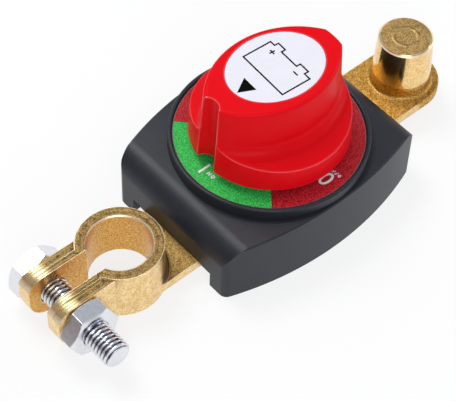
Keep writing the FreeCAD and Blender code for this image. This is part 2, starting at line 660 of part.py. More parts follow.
def knob_blank():
    """The knob as a turned form before the scoops: drafted skirt and body with rounded edges."""
    top = KNOB_TOP_EDGE_RADIUS
    low = KNOB_EDGE_RADIUS
    bend = math.sqrt(0.5)
    start = V(0, 0, KNOB_BASE)
    foot = V(KNOB_BASE_RADIUS - low, 0, KNOB_BASE)
    foot_middle = V(KNOB_BASE_RADIUS - low * (1 - bend), 0, KNOB_BASE + low * (1 - bend))
    skirt = V(KNOB_BASE_RADIUS, 0, KNOB_BASE + low)
    edge = V(SKIRT_EDGE_RADIUS, 0, SKIRT_EDGE)
    shoulder = V(KNOB_TOP_RADIUS, 0, KNOB_TOP - top)
    crest_middle = V(KNOB_TOP_RADIUS - top * (1 - bend), 0, KNOB_TOP - top * (1 - bend))
    crest = V(KNOB_TOP_RADIUS - top, 0, KNOB_TOP)
    outline = Part.Wire([
        line(start, foot), arc(foot, foot_middle, skirt), line(skirt, edge), line(edge, shoulder),
        arc(shoulder, crest_middle, crest), line(crest, V(0, 0, KNOB_TOP)), line(V(0, 0, KNOB_TOP), start)])
    return Part.Face(outline).revolve(V(0, 0, 0), V(0, 0, 1), 360)


def label_shape(clearance, low, thickness):
    """The oval of the knob's label, made smaller by a clearance."""
    oval = Part.Ellipse(V(LABEL_OFFSET, LABEL_SIDE_OFFSET, low),
                        LABEL_LENGTH / 2 - clearance, LABEL_WIDTH / 2 - clearance)
    return Part.Face(Part.Wire(oval.toShape())).extrude(V(0, 0, thickness))


def shaft_section(radius, flat, low, high):
    """A round shaft with two flats, for the shaft's top and for its socket in the knob."""
    return cylinder(radius, low, high).common(block(-radius - 1, radius + 1, -flat, flat, low - 1, high + 1))


def make_knob():
    """Moulded knob: round skirt, lens shaped grip between two scoops, pointer groove, hollow below."""
    knob = knob_blank().cut(scoop(1)).cut(scoop(-1))
    knob = knob.cut(cylinder(POINTER_RADIUS, KNOB_BASE - 1, KNOB_TOP + 1, -POINTER_OFFSET))

    pointer_guard = cylinder(POINTER_RADIUS + KNOB_WALL, KNOB_BASE - 1, KNOB_TOP, -POINTER_OFFSET)
    hub = cylinder(HUB_RADIUS, KNOB_BASE - 1, KNOB_TOP)
    skirt_inner = KNOB_BASE_RADIUS - KNOB_WALL
    skirt_pocket = cylinder(skirt_inner, KNOB_BASE - 1, KNOB_BASE + SKIRT_POCKET_DEPTH)
    flank = GRIP_FLANK_RADIUS - KNOB_WALL
    centre = GRIP_FLANK_RADIUS - GRIP_HALF_WIDTH
    pocket_top = KNOB_TOP - LABEL_RECESS - KNOB_WALL
    grip_pocket = cylinder(flank, KNOB_BASE - 1, pocket_top, 0, centre)
    grip_pocket = grip_pocket.common(cylinder(flank, KNOB_BASE - 1, pocket_top, 0, -centre))
    grip_pocket = grip_pocket.common(cylinder(KNOB_TOP_RADIUS - KNOB_WALL, KNOB_BASE - 1, pocket_top))
    pockets = skirt_pocket.fuse(grip_pocket).cut(hub).cut(pointer_guard)
    knob = knob.cut(pockets)

    socket_radius = SHAFT_RADIUS + SOCKET_CLEARANCE
    knob = knob.cut(shaft_section(socket_radius, SHAFT_FLAT + SOCKET_CLEARANCE, KNOB_BASE - 1,
                                  SHAFT_TOP + SOCKET_CLEARANCE))
    knob = knob.cut(cylinder(KNOB_SCREW_RADIUS + HEAD_CLEARANCE, SHAFT_TOP - 1, KNOB_TOP))
    knob = knob.cut(cylinder(COUNTERBORE_RADIUS, KNOB_SCREW_SEAT, KNOB_TOP + 1))
    return knob.cut(label_shape(0, LABEL_FLOOR, KNOB_TOP))


def make_knob_label():
    return label_shape(LABEL_CLEARANCE, LABEL_FLOOR, LABEL_THICKNESS)


def make_knob_washer():
    return tube(KNOB_SCREW_RADIUS + HEAD_CLEARANCE, KNOB_WASHER_RADIUS, KNOB_SCREW_SEAT,
                KNOB_SCREW_SEAT + KNOB_WASHER_THICKNESS)


def make_knob_screw():
    """Pan head screw with a cross recess, under the label."""
    seat = KNOB_SCREW_SEAT + KNOB_WASHER_THICKNESS
    head_top = seat + KNOB_SCREW_HEAD_HEIGHT
    screw = cylinder(KNOB_SCREW_HEAD_RADIUS, seat, head_top)
    screw = rounded(screw, KNOB_SCREW_HEAD_HEIGHT / 2, lambda edge: at_height(edge, head_top))
    screw = screw.fuse(cylinder(KNOB_SCREW_RADIUS, SHAFT_TOP - KNOB_SCREW_REACH, seat + 1))
    arm = KNOB_SCREW_HEAD_RADIUS / 2
    half = SCREW_SLOT_WIDTH / 2
    low = head_top - 2 * SCREW_SLOT_DEPTH
    return screw.cut(block(-arm, arm, -half, half, low, head_top)).cut(
        block(-half, half, -arm, arm, low, head_top))


def make_rotor():
    """Shaft and flange in one moulding, with spring pocket, bridge drive walls and detent pockets."""
    groove_floor = SHAFT_BORE_RADIUS - 2 * SEAL_SECTION_RADIUS - 2 * SEAL_CLEARANCE
    groove_half = SEAL_SECTION_RADIUS + SEAL_CLEARANCE
    rotor = cylinder(SHAFT_RADIUS, FLANGE_BOTTOM, KNOB_BASE)
    rotor = rotor.fuse(shaft_section(SHAFT_RADIUS, SHAFT_FLAT, KNOB_BASE - 1, SHAFT_TOP))
    rotor = rotor.cut(tube(groove_floor, SHAFT_RADIUS + 1, SEAL_HEIGHT - groove_half,
                           SEAL_HEIGHT + groove_half))
    rotor = rotor.fuse(cylinder(FLANGE_RADIUS, FLANGE_BOTTOM, FLANGE_TOP))
    rotor = rotor.fuse(cylinder(SPRING_BOSS_RADIUS, FLANGE_BOTTOM - SPRING_BOSS_HEIGHT, FLANGE_BOTTOM))
    drive_near = BRIDGE_HALF_WIDTH + BRIDGE_CLEARANCE
    drive_low = BRIDGE_BOTTOM + DRIVE_LIFT
    for side in (-1, 1):
        near = min(side * drive_near, side * (drive_near + DRIVE_WALL))
        far = max(side * drive_near, side * (drive_near + DRIVE_WALL))
        rotor = rotor.fuse(block(-DRIVE_HALF_LENGTH, DRIVE_HALF_LENGTH, near, far, drive_low, FLANGE_TOP))
    pocket_low = FLANGE_TOP - DETENT_POCKET_DEPTH
    for x, y in detent_places():
        rotor = rotor.fuse(cylinder(DETENT_BOSS_RADIUS, pocket_low - SEAT_CUP_THICKNESS, FLANGE_BOTTOM, x, y))
    for x, y in detent_places():
        rotor = rotor.cut(cylinder(BALL_RADIUS + BALL_CLEARANCE, pocket_low, FLANGE_TOP + 1, x, y))
    rotor = rotor.cut(cylinder(SPRING_POCKET_RADIUS, FLANGE_BOTTOM - SPRING_BOSS_HEIGHT - 1,
                               SPRING_POCKET_TOP))
    rotor = rotor.cut(cylinder(KNOB_PILOT_RADIUS, SHAFT_TOP - KNOB_SCREW_REACH - 1, SHAFT_TOP + 1))

    margin = math.degrees(STOP_CLEARANCE / FLANGE_RADIUS)
    start = STOP_ANGLE - KNOB_REST_TURN - STOP_HALF_ANGLE - KNOB_TRAVEL - margin
    end = STOP_ANGLE - KNOB_REST_TURN + STOP_HALF_ANGLE + margin
    inner = CHAMBER_RADIUS - STOP_REACH - STOP_CLEARANCE
    recess = pie(FLANGE_RADIUS + 1, start, end, FLANGE_BOTTOM - 1, FLANGE_TOP + 1)
    recess = recess.cut(cylinder(inner, 0, KNOB_TOP))
    return rotor.cut(recess)


def make_shaft_seal():
    seal = Part.makeTorus(SHAFT_BORE_RADIUS - SEAL_SECTION_RADIUS - SEAL_CLEARANCE, SEAL_SECTION_RADIUS)
    seal.translate(V(0, 0, SEAL_HEIGHT))
    return seal


def make_thrust_washer():
    return tube(SHAFT_BORE_RADIUS + HEAD_CLEARANCE, WASHER_OUTER_RADIUS, FLANGE_TOP + WASHER_CLEARANCE,
                CEILING - WASHER_CLEARANCE)


def make_contact_bridge():
    """Copper bar with round ends, ramped along its underside so that it climbs onto the contacts."""
    straight = BRIDGE_HALF_LENGTH - BRIDGE_HALF_WIDTH
    bridge = block(-straight, straight, -BRIDGE_HALF_WIDTH, BRIDGE_HALF_WIDTH, BRIDGE_BOTTOM, BRIDGE_TOP)
    for x in (-straight, straight):
        bridge = bridge.fuse(cylinder(BRIDGE_HALF_WIDTH, BRIDGE_BOTTOM, BRIDGE_TOP, x))
    bridge = bridge.removeSplitter()
    ramps = [edge for edge in bridge.Edges if at_height(edge, BRIDGE_BOTTOM)]
    return bridge.makeChamfer(BRIDGE_RAMP, ramps)


def make_spring_seat():
    cup_top = BRIDGE_TOP + SEAT_CUP_THICKNESS
    cup = cylinder(SEAT_CUP_RADIUS, BRIDGE_TOP, cup_top)
    return cup.fuse(cylinder(SEAT_STUD_RADIUS, BRIDGE_TOP, cup_top + SEAT_STUD_HEIGHT))


def make_contact_spring():
    return coil(SPRING_MEAN_RADIUS, SPRING_WIRE_RADIUS, BRIDGE_TOP + SEAT_CUP_THICKNESS,
                SPRING_POCKET_TOP, SPRING_TURNS)


def make_detent_ball(x, y):
    return Part.makeSphere(BALL_RADIUS, V(x, y, CEILING - BALL_AIR - BALL_RADIUS))


def make_detent_spring(x, y):
    low = FLANGE_TOP - DETENT_POCKET_DEPTH
    high = CEILING - BALL_AIR - 2 * BALL_RADIUS
    mean = BALL_RADIUS - 2 * DETENT_WIRE_RADIUS
    return coil(mean, DETENT_WIRE_RADIUS, low, high, DETENT_SPRING_TURNS, x, y)


def turned_to_rest(shape):
    """Pieces of the rotor group stand a few degrees short of the long axis in the ON position."""
    shape.rotate(V(0, 0, 0), V(0, 0, 1), KNOB_REST_TURN)
    return shape


def all_pieces():
    pieces = {
        "housing": make_housing(),
        "base_plate": make_base_plate(),
        "base_screws": make_base_screws(),
        "terminal_screws": make_terminal_screws(),
        "dial_plate": make_dial_plate(),
        "arc_barrier": make_arc_barrier(),
        "clamp_terminal": make_clamp_terminal(),
        "post_terminal": make_post_terminal(),
        "clamp_bolt": make_clamp_bolt(),
        "clamp_nut": make_clamp_nut(),
        "thrust_washer": make_thrust_washer()}
    turning = {
        "knob": make_knob(),
        "knob_label": make_knob_label(),
        "knob_washer": make_knob_washer(),
        "knob_screw": make_knob_screw(),
        "rotor": make_rotor(),
        "shaft_seal": make_shaft_seal(),
        "contact_bridge": make_contact_bridge(),
        "spring_seat": make_spring_seat(),
        "contact_spring": make_contact_spring()}
    for number, (x, y) in enumerate(detent_places(), start=1):
        turning["detent_ball_%d" % number] = make_detent_ball(x, y)
        turning["detent_spring_%d" % number] = make_detent_spring(x, y)
    for name, shape in turning.items():
        pieces[name] = turned_to_rest(shape)
    return pieces


os.makedirs("parts", exist_ok=True)
for name, shape in all_pieces().items():
    if len(shape.Solids) == 1:
        shape = shape.Solids[0]
    shape.exportStep("parts/" + name + ".step")
    print(name, "solids", len(shape.Solids), "valid", shape.isValid(), "volume", round(shape.Volume, 1))
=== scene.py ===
import math

import bmesh
import bpy
from mathutils import Matrix, Vector


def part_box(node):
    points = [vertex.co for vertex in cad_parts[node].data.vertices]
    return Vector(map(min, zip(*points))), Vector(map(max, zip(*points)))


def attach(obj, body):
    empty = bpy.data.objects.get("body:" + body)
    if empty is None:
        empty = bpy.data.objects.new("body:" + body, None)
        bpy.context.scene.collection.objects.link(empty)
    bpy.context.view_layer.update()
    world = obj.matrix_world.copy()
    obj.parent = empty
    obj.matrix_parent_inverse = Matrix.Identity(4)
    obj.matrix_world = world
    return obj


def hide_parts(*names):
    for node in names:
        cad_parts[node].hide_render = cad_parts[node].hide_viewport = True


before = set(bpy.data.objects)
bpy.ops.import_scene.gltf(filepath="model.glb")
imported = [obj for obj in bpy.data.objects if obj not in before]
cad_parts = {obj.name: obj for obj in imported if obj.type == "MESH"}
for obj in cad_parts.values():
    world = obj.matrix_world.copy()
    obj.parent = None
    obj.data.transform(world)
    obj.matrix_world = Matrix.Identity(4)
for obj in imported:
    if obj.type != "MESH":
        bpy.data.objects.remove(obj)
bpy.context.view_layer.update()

scene = bpy.context.scene
scene.view_settings.view_transform = "Standard"

# The view. A long lens looks down on the clamp's end of the switch, so that the long axis
# runs from the lower left of the picture to the upper right.
VIEW_AZIMUTH = math.radians(-43.009)
VIEW_ELEVATION = math.radians(52.063)
VIEW_ROLL = math.radians(2.401)
VIEW_PLACE = (-0.21492, -0.21509, 0.38145)
VIEW_LENS = 136.32
SENSOR_WIDTH = 36.0
NEAREST_SEEN = 0.01
FARTHEST_SEEN = 20.0

camera = bpy.data.objects.new("photographer", bpy.data.cameras.new("photographer"))
camera.data.sensor_fit = "HORIZONTAL"
camera.data.sensor_width = SENSOR_WIDTH
camera.data.lens = VIEW_LENS
camera.data.clip_start = NEAREST_SEEN
camera.data.clip_end = FARTHEST_SEEN
camera.matrix_world = (
    Matrix.Translation(VIEW_PLACE)
    @ Matrix.Rotation(VIEW_AZIMUTH, 4, "Z")
    @ Matrix.Rotation(math.pi / 2 - VIEW_ELEVATION, 4, "X")
    @ Matrix.Rotation(VIEW_ROLL, 4, "Z")
)
scene.collection.objects.link(camera)
scene.camera = camera


# The studio. A seamless white table in a grey room that is darker at the clamp's end, with a broad
# lamp above and behind the switch, and weaker ones at the right and in front. Lens and gloss see
# the table as white paper. A dark card stands out of the picture at the left for plated faces.
class Field:
    """A value that varies over a surface: a node's socket that takes part in plain sums."""

    def __init__(self, tree, socket):
        self.tree = tree
        self.socket = socket

    def math(self, operation, *others):
        return self.tree.node("ShaderNodeMath", {"operation": operation}, [self, *others])

    def __add__(self, other):
        return self.math("ADD", other)

    def __sub__(self, other):
        return self.math("SUBTRACT", other)

    def __mul__(self, other):
        return self.math("MULTIPLY", other)

    def __truediv__(self, other):
        return self.math("DIVIDE", other)

    def __pow__(self, other):
        return self.math("POWER", other)

    def __rsub__(self, other):
        return self.tree.node("ShaderNodeMath", {"operation": "SUBTRACT"}, [other, self])

    __radd__ = __add__
    __rmul__ = __mul__

    def rises(self, low, high):
        """0 below low, 1 above high, and a smooth climb between them."""
        return self.tree.node(
            "ShaderNodeMapRange", {"interpolation_type": "SMOOTHSTEP"}, [self, low, high])

    def between(self, low, high, soft):
        """1 between two values, with soft edges."""
        return self.rises(low - soft, low + soft) * (1 - self.rises(high - soft, high + soft))

    def tint(self, low_colour, high_colour):
        """The colour that goes from one to the other as the value goes from 0 to 1."""
        mix = {0: self, 6: low_colour, 7: high_colour}
        return self.tree.node("ShaderNodeMix", {"data_type": "RGBA"}, mix, output=2)


class Nodes:
    """The nodes of one material or of the world."""

    def __init__(self, owner):
        owner.use_nodes = True
        self.nodes = owner.node_tree.nodes
        self.links = owner.node_tree.links

    def feed(self, socket, value):
        """Gives a socket its value, or a link where the value varies."""
        if isinstance(value, Field):
            self.links.new(value.socket, socket)
        elif isinstance(value, tuple) and len(value) == 3 and socket.type == "RGBA":
            socket.default_value = (*value, 1.0)
        else:
            socket.default_value = value

    def node(self, kind, settings, values, output=0):
        """A node with its settings, then its sockets' values or links, by place or by name."""
        made = self.nodes.new(kind)
        for name, setting in settings.items():
            setattr(made, name, setting)
        pairs = values.items() if isinstance(values, dict) else enumerate(values)
        for key, value in pairs:
            self.feed(made.inputs[key], value)
        return Field(self, made.outputs[output])

    def axis(self, vector, letter):
        """One of a vector's three numbers."""
        return self.node("ShaderNodeSeparateXYZ", {}, [vector], output=letter)

    def rays(self, *kinds):
        """1 for rays of these kinds and 0 for the others."""
        asked = [self.node("ShaderNodeLightPath", {}, [], output=f"Is {kind} Ray") for kind in kinds]
        return sum(asked[1:], asked[0])


BEVEL_SAMPLES = 6


class Finish(Nodes):
    """A material: constant sockets by name, and fields for what changes over the surface."""

    def __init__(self, name, **sockets):
        self.material = bpy.data.materials.new(name)
        super().__init__(self.material)
        self.shader = self.nodes["Principled BSDF"]
        self.set(**sockets)

    def set(self, **sockets):
        """Values or fields for the shader's sockets, each under its own name."""
        for name, value in sockets.items():
            label = name.replace("_", " ").title().replace("Ior", "IOR")
            self.feed(self.shader.inputs[label], value)

    def place(self):
        """Where a point of the surface lies in the object's own frame, in metres."""
        return self.node("ShaderNodeTexCoord", {}, [], output="Object")

    def facing(self, letter):
        """How far the surface faces along one of the object's own axes, from -1 to 1."""
        return self.axis(self.node("ShaderNodeTexCoord", {}, [], output="Normal"), letter)

    def noise(self, size, detail=2.0, roughness=0.5):
        """Cloudy noise whose lumps are about that size in metres."""
        return self.node("ShaderNodeTexNoise", {}, {
            "Vector": self.place(), "Scale": 1 / size, "Detail": detail, "Roughness": roughness})

    def mixed(self, share, first, second):
        """One colour, with a share of another laid over it."""
        mix = {0: share, 6: first, 7: second}
        return self.node("ShaderNodeMix", {"data_type": "RGBA"}, mix, output=2)

    def rounded(self, radius):
        """The surface's normal, as if its corners were rounded to that radius."""
        return self.node("ShaderNodeBevel", {"samples": BEVEL_SAMPLES}, {"Radius": radius})

    def edges(self, radius):
        """Where the form turns sharply within that radius."""
        flat = self.node("ShaderNodeNewGeometry", {}, [], output="Normal")
        product = {"operation": "DOT_PRODUCT"}
        return 1 - self.node(
            "ShaderNodeVectorMath", product, [self.rounded(radius), flat], output="Value")

    def relief(self, height, depth, strength):
        """Gives the surface a relief from a field of 0 to 1 and a depth in metres."""
        self.set(normal=self.node("ShaderNodeBump", {}, {
            "Strength": strength, "Distance": depth, "Height": height}))

    def on(self, *names):
        """Puts the finish on CAD nodes, in place of their plain one."""
        for name in names:
            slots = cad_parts[name].data.materials
            slots.clear()
            slots.append(self.material)


def sheet(name, corners, faces, finish):
    """A mesh object from its corners and faces."""
    mesh = bpy.data.meshes.new(name)
    mesh.from_pydata(corners, [], faces)
    mesh.materials.append(finish.material)
    made = bpy.data.objects.new(name, mesh)
    scene.collection.objects.link(made)
    return made


TABLE_HALF = 4.0
TABLE_COLOUR = (0.9, 0.9, 0.9)
TABLE_GLOW = 0.80
PAPER_ROUGHNESS = 0.9
WHITE = (1.0, 1.0, 1.0)
ONE_FACE = [(0, 1, 2, 3)]

table_finish = Finish(
    "white_paper", base_color=TABLE_COLOUR, roughness=PAPER_ROUGHNESS, specular_ior_level=0.0)
glow = table_finish.node("ShaderNodeEmission", {}, {"Color": WHITE, "Strength": 1.0})
glow_share = table_finish.rays("Camera", "Glossy", "Transmission") * TABLE_GLOW
lit = Field(table_finish, table_finish.shader.outputs[0])
paper = table_finish.node("ShaderNodeMixShader", {}, [glow_share, lit, glow])
table_finish.feed(table_finish.nodes["Material Output"].inputs["Surface"], paper)
table = sheet(
    "table",
    [(-TABLE_HALF, -TABLE_HALF, 0), (TABLE_HALF, -TABLE_HALF, 0),
     (TABLE_HALF, TABLE_HALF, 0), (-TABLE_HALF, TABLE_HALF, 0)],
    ONE_FACE, table_finish)

ROOM_LIGHT = (0.47, 0.49, 0.53)
DARK_END_LIGHT = (0.34, 0.33, 0.32)
DARK_END_BEGINS = 0.35
DARK_END_FULL = 0.85

world = bpy.data.worlds.new("grey_studio")
scene.world = world
studio = Nodes(world)
heading = studio.axis(studio.node("ShaderNodeTexCoord", {}, [], output="Generated"), "X")
walls = (heading * -1).rises(DARK_END_BEGINS, DARK_END_FULL).tint(ROOM_LIGHT, DARK_END_LIGHT)
wall_light = studio.node("ShaderNodeBackground", {}, {"Color": walls, "Strength": 1.0})
white_light = studio.node("ShaderNodeBackground", {}, {"Color": WHITE, "Strength": 1.0})
seen_white = studio.rays("Camera", "Transmission")
room = studio.node("ShaderNodeMixShader", {}, [seen_white, wall_light, white_light])
studio.feed(studio.nodes["World Output"].inputs["Surface"], room)

LAMP_AIM = (0, 0, 0.02)


def softbox(name, place, width, watts, colour):
    """A square area lamp that looks at the middle of the switch."""
    lamp = bpy.data.objects.new(name, bpy.data.lights.new(name, "AREA"))
    lamp.data.shape = "SQUARE"
    lamp.data.size = width
    lamp.data.energy = watts
    lamp.data.color = colour
    lamp.location = place
    lamp.rotation_euler = (Vector(LAMP_AIM) - Vector(place)).to_track_quat("-Z", "Y").to_euler()
    scene.collection.objects.link(lamp)


softbox("softbox_above", place=(-0.05, 0.47, 0.93), width=0.45, watts=5.4, colour=(1.0, 0.99, 0.975))
softbox("softbox_right", place=(1.0, -0.35, 0.5), width=0.45, watts=2.0, colour=(0.97, 0.98, 1.0))
softbox("softbox_front", place=(-0.55, -0.75, 0.70), width=0.60, watts=3.6, colour=WHITE)

CARD_X = -0.172
CARD_NEAR = -0.10
CARD_FAR = 0.16
CARD_TOP = 0.05
CARD_COLOUR = (0.34, 0.28, 0.27)

card = sheet(
    "dark_card",
    [(CARD_X, CARD_NEAR, 0), (CARD_X, CARD_FAR, 0),
     (CARD_X, CARD_FAR, CARD_TOP), (CARD_X, CARD_NEAR, CARD_TOP)],
    ONE_FACE, Finish("dark_card", base_color=CARD_COLOUR, roughness=PAPER_ROUGHNESS))
card.visible_camera = False
card.visible_diffuse = False
card.visible_shadow = False

# The housing, moulded in charcoal black plastic with a finely spark-eroded skin. Four screws from
# below hold its closing plate, which is of a plainer black plastic, as is the arc barrier between
# the contacts. Four more hold the two castings to the plate. All eight are zinc plated steel.
HOUSING_GRAIN = 0.0004
HOUSING_PATCHES = 0.006
HOUSING_DARK = (0.010, 0.012, 0.018)
HOUSING_PALE = (0.023, 0.026, 0.036)
PLATE_DARK = (0.018, 0.018, 0.021)
PLATE_PALE = (0.026, 0.026, 0.029)
ZINC_CLOUDS = 0.0008
ZINC_DULL = (0.56, 0.57, 0.59)
ZINC_BRIGHT = (0.68, 0.69, 0.71)

housing_finish = Finish("moulded_charcoal", specular_ior_level=0.34)
grain = housing_finish.noise(HOUSING_GRAIN, detail=3.0)
patches = housing_finish.noise(HOUSING_PATCHES)
housing_finish.set(base_color=(patches * 0.6 + grain * 0.4).tint(HOUSING_DARK, HOUSING_PALE),
                   roughness=0.32 + grain * 0.2)
housing_finish.relief(grain, depth=0.00006, strength=0.6)
housing_finish.on("housing")

plate_finish = Finish("moulded_black", roughness=0.5)
plate_grain = plate_finish.noise(HOUSING_GRAIN)
plate_finish.set(base_color=plate_grain.tint(PLATE_DARK, PLATE_PALE))
plate_finish.relief(plate_grain, depth=0.00003, strength=0.5)
plate_finish.on("base_plate", "arc_barrier")

screw_finish = Finish("zinc_plate", metallic=1.0)
zinc_clouds = screw_finish.noise(ZINC_CLOUDS)
screw_finish.set(base_color=zinc_clouds.tint(ZINC_DULL, ZINC_BRIGHT),
                 roughness=0.28 + zinc_clouds * 0.2)
screw_finish.on("base_screws", "terminal_screws")

# The dial plate, a printed ring in the rim's recess: a green field where the pointer says ON and
# a dark red one elsewhere, with thin dark edges between them and a grey line round the outside.
# Its bar, its ring and its two words are printed over the fields in white ink.
GREEN_START = math.radians(131.6)
GREEN_END = math.radians(229.5)
DIAL_EDGE = 0.02625
DIAL_LINE = 0.00006
DIAL_LINE_COLOUR = (0.16, 0.16, 0.17)
FIELD_SPARKLE = 0.00038
GREEN_DEEP = (0.010, 0.34, 0.035)
GREEN_SPARK = (0.08, 0.68, 0.15)
RED_DEEP = (0.29, 0.001, 0.004)
RED_SPARK = (0.66, 0.03, 0.045)
SEAM_TURN = 0.008
SEAM_SOFT = 0.001
FIELD_SOFT = 0.002
SEAM_COLOUR = (0.006, 0.008, 0.008)

dial_finish = Finish("printed_dial", roughness=0.45, specular_ior_level=0.18)
where = dial_finish.place()
along = dial_finish.axis(where, "X")
across = dial_finish.axis(where, "Y")
radius = (along * along + across * across) ** 0.5
bearing = (across * -1).math("ARCTAN2", along * -1) + math.pi
sector = bearing.between(GREEN_START, GREEN_END, FIELD_SOFT)
sparkle = dial_finish.noise(FIELD_SPARKLE, detail=3.0, roughness=0.7).rises(0.38, 0.64)
green = sparkle.tint(GREEN_DEEP, GREEN_SPARK)
red = sparkle.tint(RED_DEEP, RED_SPARK)
fields = dial_finish.mixed(sector, red, green)
seam = bearing.between(GREEN_START - SEAM_TURN, GREEN_START, SEAM_SOFT)
seam = seam + bearing.between(GREEN_END, GREEN_END + SEAM_TURN, SEAM_SOFT)
fields = dial_finish.mixed(seam, fields, SEAM_COLOUR)
rim_line = radius.rises(DIAL_EDGE - DIAL_LINE, DIAL_EDGE)
dial_finish.set(base_color=dial_finish.mixed(rim_line, fields, DIAL_LINE_COLOUR))
dial_finish.relief(sparkle, depth=0.00003, strength=0.4)
dial_finish.on("dial_plate")

INK_THICKNESS = 0.00002
INK_GRAIN = 0.0002
DIAL_INK_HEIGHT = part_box("dial_plate")[1].z + INK_THICKNESS
WHITE_INK_THIN = (0.78, 0.80, 0.80)
WHITE_INK_FULL = (0.92, 0.93, 0.93)

white_ink = Finish("white_ink", roughness=0.5)
white_ink.set(base_color=white_ink.noise(INK_GRAIN).tint(WHITE_INK_THIN, WHITE_INK_FULL))

SHARPEST_MITRE = 0.3
LETTER_MIDDLE = 0.52


def stroke(points, width, closed=False):
    """Four-cornered patches along a line of points, mitred at its corners."""
    count = len(points)
    sides = []
    for i, (x, y) in enumerate(points):
        before = points[i - 1] if closed or i > 0 else None
        after = points[(i + 1) % count] if closed or i < count - 1 else None
        into = Vector((x - before[0], y - before[1])).normalized() if before else None
        out = Vector((after[0] - x, after[1] - y)).normalized() if after else into
        into = into or out
        mitre = (into + out).normalized()
        reach = width / 2 / max(mitre.dot(out), SHARPEST_MITRE)
        sides.append(((x - mitre.y * reach, y + mitre.x * reach),
                      (x + mitre.y * reach, y - mitre.x * reach)))
    last = count if closed else count - 1
    return [(sides[i][1], sides[(i + 1) % count][1], sides[(i + 1) % count][0], sides[i][0])
            for i in range(last)]


def oval(width, height, x=0.0, y=0.0, steps=24):
    """Points round an oval about (x, y)."""
    turns = [2 * math.pi * i / steps for i in range(steps)]
    return [(x + width / 2 * math.cos(t), y + height / 2 * math.sin(t)) for t in turns]


def print_ink(name, patches, place, finish, body):
    """Flat ink on a surface. place turns a point of the drawing into a point of the object."""
    corners = []
    faces = []
    for patch in patches:
        faces.append(tuple(range(len(corners), len(corners) + len(patch))))
        corners += [place(x, y) for x, y in patch]
    ink = sheet(name, corners, faces, finish)
    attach(ink, body)


def letter(shape, width, height, x, weight):
    """The strokes of a capital letter whose lower left corner is at (x, 0)."""
    bend = weight / 2
    left, right, low, high = x + bend, x + width - bend, bend, height - bend
    middle = height * LETTER_MIDDLE
    lines = {
        "N": [[(left, 0), (left, height)], [(left, high), (right, low)],
              [(right, 0), (right, height)]],
        "F": [[(left, 0), (left, height)], [(x, high), (x + width, high)],
              [(x, middle), (right, middle)]],
    }
    if shape == "O":
        ring = oval(width - weight, height - weight, x + width / 2, height / 2)
        return stroke(ring, weight, closed=True)
    return [patch for line in lines[shape] for patch in stroke(line, weight)]


def word(text, width, height, gap, weight):
    patches = []
    for i, shape in enumerate(text):
        patches += letter(shape, width, height, i * (width + gap), weight)
    return patches


def dial_mark(name, patches, start_x, start_y):
    """A mark that reads towards +Y, with its head towards -X, from a starting point."""
    def place(x, y):
        return (start_x - y, start_y + x, DIAL_INK_HEIGHT)
    print_ink(name, patches, place, white_ink, "body")


on_bar = stroke([(0, 0), (0, 0.0042)], width=0.00062)
on_word = word("ON", width=0.0011, height=0.0013, gap=0.0004, weight=0.0003)
off_ring = stroke(oval(width=0.0022, height=0.0042), width=0.0007, closed=True)
off_word = word("OFF", width=0.0008, height=0.0011, gap=0.0003, weight=0.00027)
dial_mark("on_bar", on_bar, start_x=-0.01976, start_y=0.00164)
dial_mark("on_word", on_word, start_x=-0.0214, start_y=-0.0026)
dial_mark("off_ring", off_ring, start_x=0.00073, start_y=-0.0219)
dial_mark("off_word", off_word, start_x=0.0046, start_y=-0.0239)

# The clamp that grips the battery's post: one brass casting with a ring, two bolt lugs and a flat
# bar. Its tops keep the grainy skin of the sand and are painted darker, partly for that skin and
# partly as painted shade, and its walls are smoother and brighter. Fine ridges run along its upper
# faces, as the pattern left them. Painted highlights lie on its edges, crests, ridges and lug ends,
# painted shade lies inside its bore and slot, and its bar's top is painted lighter.
BRASS_GRAIN = 0.00042
BRASS_LUMPS = 0.0018
BRASS_EDGE = 0.0004
BRASS_RELIEF = 0.00010
BRASS_TOP_TILT = (0.86, 0.98)
BRASS_CREST_TILT = (0.80, 0.95)
BRASS_LIP_TILT = (0.63, 0.79)
# Colours of the painted highlights: on crests and lips, found by how steeply a face tilts, and on
# edges.
BRASS_CREST_HIGHLIGHT = (0.98, 0.72, 0.34)
BRASS_LIP_HIGHLIGHT = (1.0, 0.90, 0.70)
BRASS_EDGE_HIGHLIGHT = (1.0, 0.86, 0.60)


class Brass(Finish):
    """Cast brass: a speckled skin, rougher on top and darker there partly by painted shade, with
    painted highlights.
    """

    def __init__(self, name, wall_colours, crust_and_shade_colours):
        super().__init__(name, metallic=1.0)
        tilt = self.facing("Z")
        self.up = tilt.rises(*BRASS_TOP_TILT)
        self.crest = tilt.between(*BRASS_CREST_TILT, soft=0.05)
        self.lip = tilt.between(*BRASS_LIP_TILT, soft=0.03)
        self.grain = self.noise(BRASS_GRAIN, detail=4.0, roughness=0.7)
        self.lumps = self.noise(BRASS_LUMPS, detail=3.0)
        speck = (self.grain * 0.75 + self.lumps * 0.25).rises(0.43, 0.57)
        self.wall = speck.tint(*wall_colours)
        # The tops' colour: the sand's skin, darkened further as painted shade.
        self.crust_and_shade = speck.tint(*crust_and_shade_colours)
        self.edge = self.edges(BRASS_EDGE).rises(0.01, 0.08)

    def paint(self, wall, crust_and_shade):
        """Lays crust and painted shade on the tops and wall on the sides, then paints highlights on
        crests, lips and edges.
        """
        skin = self.mixed(self.up, wall, crust_and_shade)
        skin = self.mixed(self.crest * 0.6, skin, BRASS_CREST_HIGHLIGHT)
        skin = self.mixed(self.lip * 0.8, skin, BRASS_LIP_HIGHLIGHT)
        self.set(base_color=self.mixed(self.edge * 0.85, skin, BRASS_EDGE_HIGHLIGHT))


